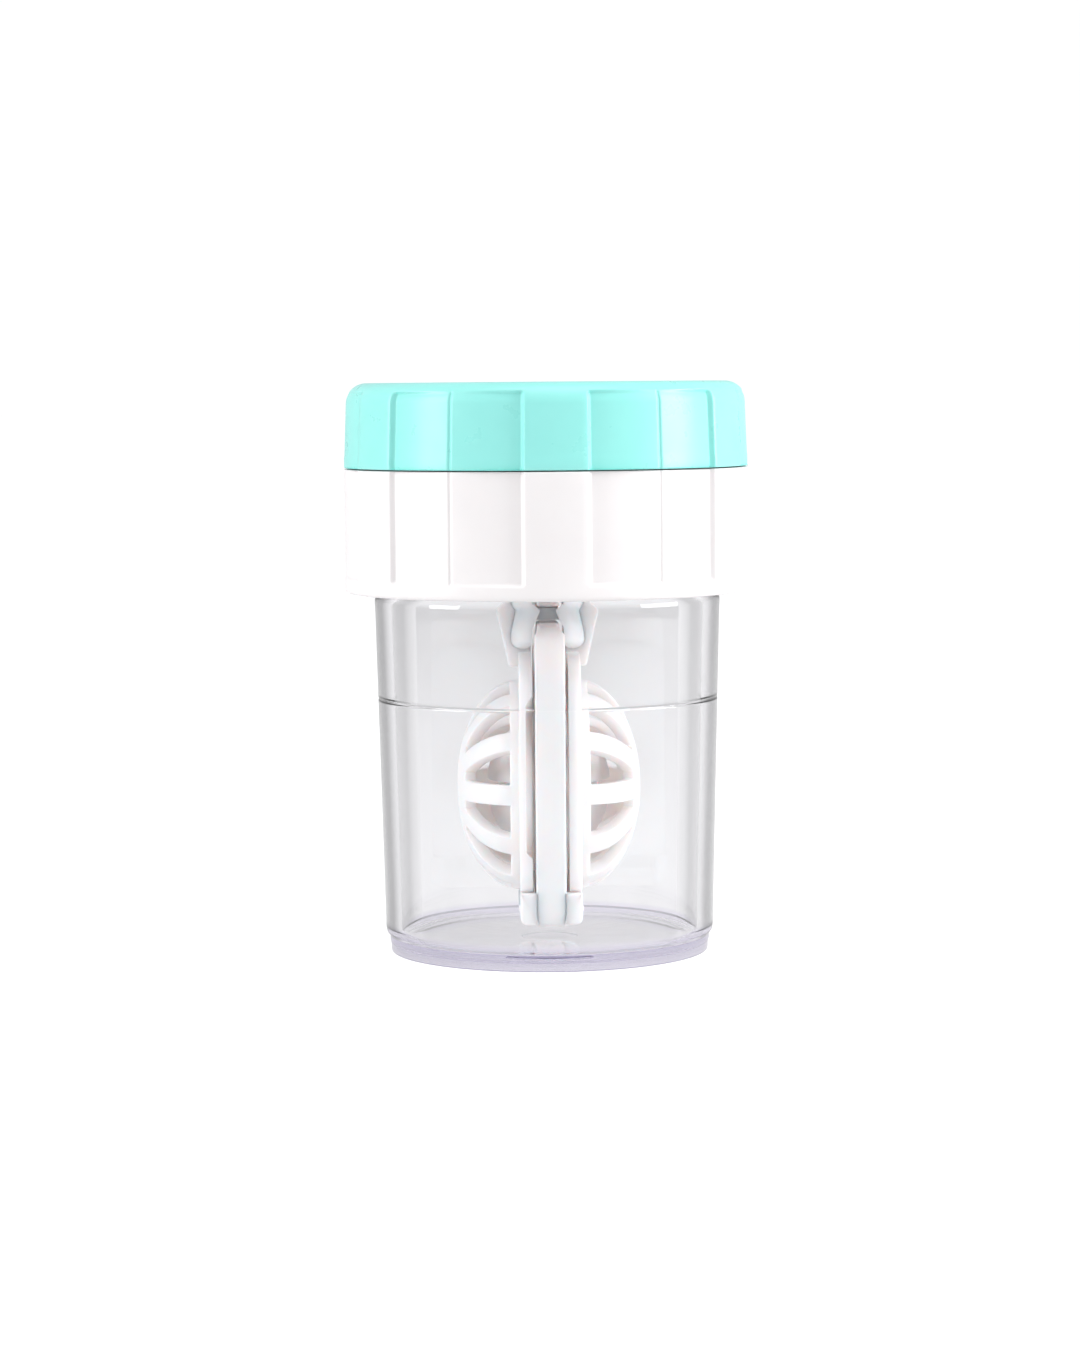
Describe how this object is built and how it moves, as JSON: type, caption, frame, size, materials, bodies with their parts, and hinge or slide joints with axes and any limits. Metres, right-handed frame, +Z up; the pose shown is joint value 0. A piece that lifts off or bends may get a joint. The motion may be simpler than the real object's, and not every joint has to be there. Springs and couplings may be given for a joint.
{
  "type": "rotary contact lens case",
  "caption": "Clear tapered cup with a screw ring, a fluted knob that turns on it, and a lens plate with hinged cage doors hanging inside.",
  "frame": {"origin": "middle of the cup's foot, on the surface it stands on", "axes": "+Z up along the case's turning axis; -Y is the front, which one grip land and the plate's front edge face; +X is the right-hand door's side"},
  "size_m": [0.042, 0.042, 0.059],
  "materials": {
    "clear_plastic": "polished clear moulded plastic with a faint violet tone in the thick base",
    "white_plastic": "satin white moulded plastic",
    "mint_plastic": "satin mint green moulded plastic",
    "milky_plastic": "slightly see-through warm white moulded plastic",
    "silicone": "soft matt silicone rubber"
  },
  "bodies": {
    "cup": {"cup": "clear_plastic"},
    "gasket": {"rim_gasket": "silicone"},
    "ring": {"screw_ring": "white_plastic"},
    "rotor": {"knob": "mint_plastic", "stem": "milky_plastic", "stem_seal": "silicone", "lens_plate": "milky_plastic"},
    "door_right": {"door_right": "milky_plastic"},
    "door_left": {"door_left": "milky_plastic"}
  },
  "joints": [
    {"name": "lid_rise", "type": "slide", "parent": "cup", "child": "gasket", "axis": [0, 0, 1], "range_m": [0, 0.045]},
    {"name": "ring_turn", "type": "hinge", "parent": "gasket", "child": "ring", "pos_m": [0, 0, 0.0374], "axis": [0, 0, 1], "range_deg": [0, 2000]},
    {"name": "knob_spin", "type": "hinge", "parent": "ring", "child": "rotor", "pos_m": [0, 0, 0.0502], "axis": [0, 0, 1], "continuous": true},
    {"name": "door_right_open", "type": "hinge", "parent": "rotor", "child": "door_right", "pos_m": [0.0025, 0, 0.0057], "axis": [0, 1, 0], "range_deg": [0, 18]},
    {"name": "door_left_open", "type": "hinge", "parent": "rotor", "child": "door_left", "pos_m": [-0.0025, 0, 0.0057], "axis": [0, -1, 0], "range_deg": [0, 18]}
  ],
  "couplings": [
    {"joint": "lid_rise", "follows": "ring_turn", "m_per_rad": 0.0012892}
  ]
}
